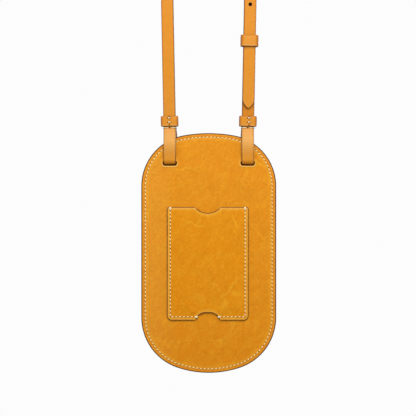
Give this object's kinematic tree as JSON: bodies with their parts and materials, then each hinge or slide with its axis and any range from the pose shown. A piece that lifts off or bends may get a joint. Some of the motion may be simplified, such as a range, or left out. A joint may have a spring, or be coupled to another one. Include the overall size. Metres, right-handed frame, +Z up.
{
  "type": "phone pouch",
  "caption": "Upright leather phone pouch with rounded ends, a card pocket with thumb and push notches, and a buckled shoulder strap looped through slots under its open mouth.",
  "frame": {"origin": "where the strap hangs: the middle of the underside of its top bend", "axes": "+Z up along the hanging strap, -Y to the front with the card pocket, +X to the right of that view"},
  "size_m": [0.108, 0.0235, 0.4554],
  "materials": {
    "panel_leather": "satin, waxed vegetable-tanned grain",
    "lining_leather": "matte suede side",
    "strap_leather": "satin, creased edges",
    "thread": "waxed linen",
    "buckle_brass": "satin"
  },
  "bodies": {
    "strap": {"long_strap": "strap_leather", "left_strap_bend": "strap_leather", "right_strap_bend": "strap_leather", "left_keeper": "strap_leather", "right_keeper": "strap_leather", "left_keeper_stitches": "thread", "right_keeper_stitches": "thread", "left_binding": "thread", "right_binding": "thread", "buckle_strap": "strap_leather", "buckle_stitches": "thread", "buckle_frame": "buckle_brass"},
    "pouch": {"front_panel": "panel_leather", "front_lining": "lining_leather", "back_panel": "panel_leather", "back_lining": "lining_leather", "card_pocket": "panel_leather", "front_edge_stitches": "thread", "back_edge_stitches": "thread", "pocket_stitches": "thread", "left_strap_loop": "strap_leather", "right_strap_loop": "strap_leather"},
    "keeper": {"sliding_keeper": "strap_leather"},
    "prong": {"buckle_prong": "buckle_brass"}
  },
  "joints": [
    {"name": "pouch_swing", "type": "hinge", "parent": "strap", "child": "pouch", "pos_m": [0, 0.001, -0.26107], "axis": [1, 0, 0], "range_deg": [-60, 60], "deforming": ["left_strap_bend", "right_strap_bend"]},
    {"name": "keeper_slide", "type": "slide", "parent": "strap", "child": "keeper", "axis": [0.0192, 0, 0.9998], "range_m": [-0.054, 0.025]},
    {"name": "prong_turn", "type": "hinge", "parent": "strap", "child": "prong", "pos_m": [0.03343, 0.00225, -0.14243], "axis": [0.9998, 0, -0.0192], "range_deg": [0, 25]}
  ]
}
